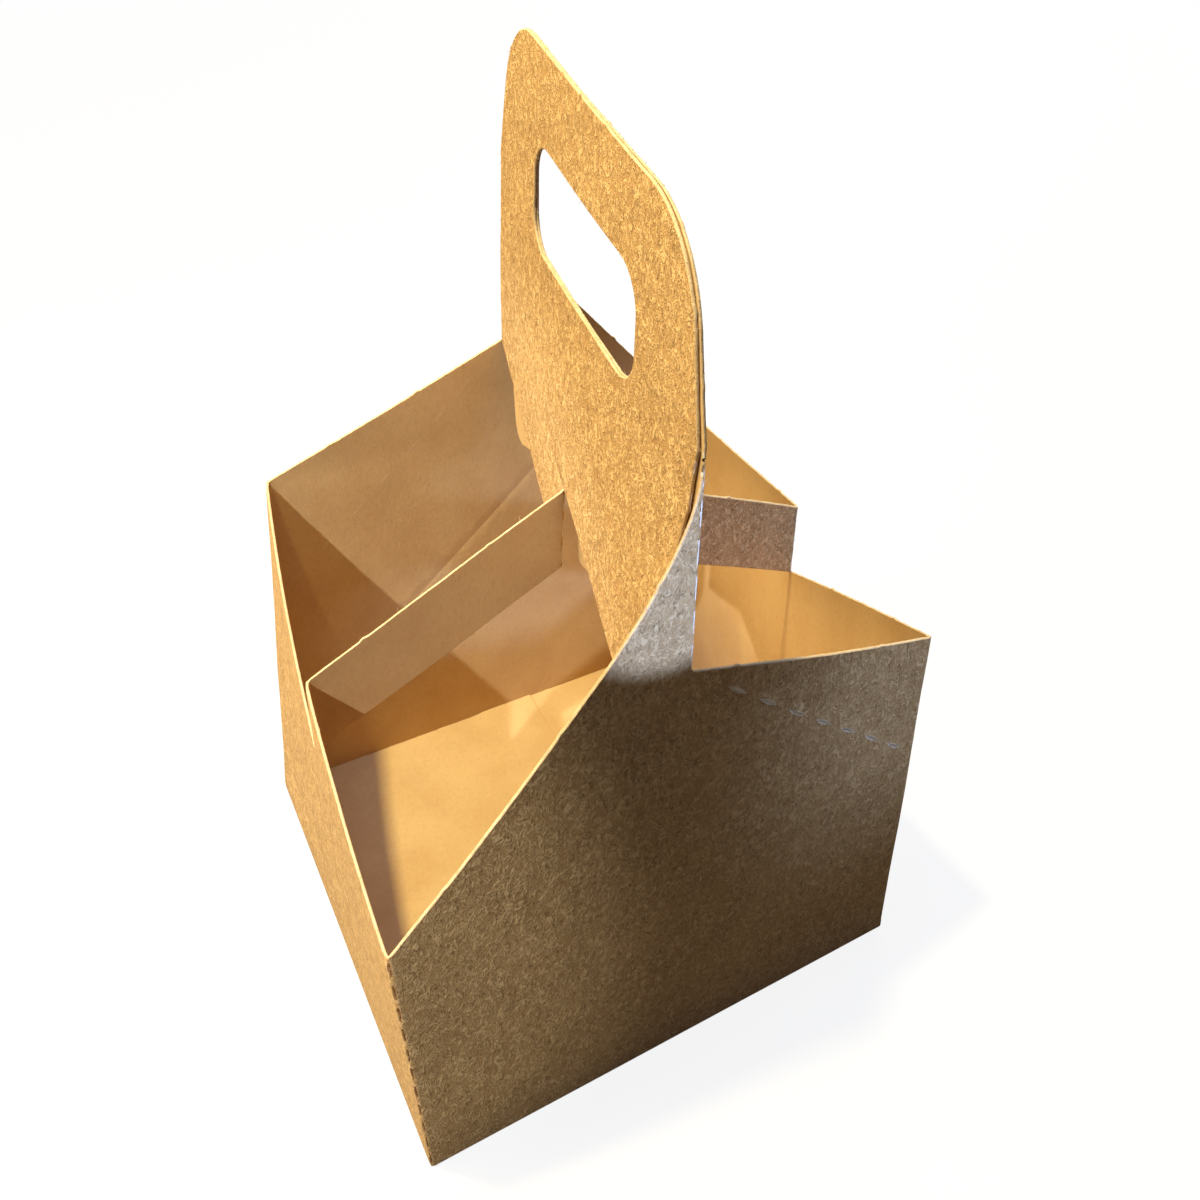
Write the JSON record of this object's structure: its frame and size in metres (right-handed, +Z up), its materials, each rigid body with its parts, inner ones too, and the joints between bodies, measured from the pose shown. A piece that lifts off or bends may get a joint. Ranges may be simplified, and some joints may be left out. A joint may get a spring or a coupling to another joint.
{
  "type": "cardboard cup carrier",
  "caption": "Folded kraft board carrier for hot drink cups, with sloped end walls that turn in to form an upright handle with a hand hole, and straps that part the cups.",
  "frame": {"origin": "middle of the carrier's footprint, on the underside of the floor", "axes": "+Z up towards the handle, +Y along the handle from the front end wall to the back one, +X across the handle"},
  "size_m": [0.18, 0.165, 0.304],
  "materials": {
    "kraft_board": "uncoated brown kraft board, rough outside and smoother inside"
  },
  "bodies": {
    "root": {"carrier_board": "kraft_board"}
  },
  "joints": []
}
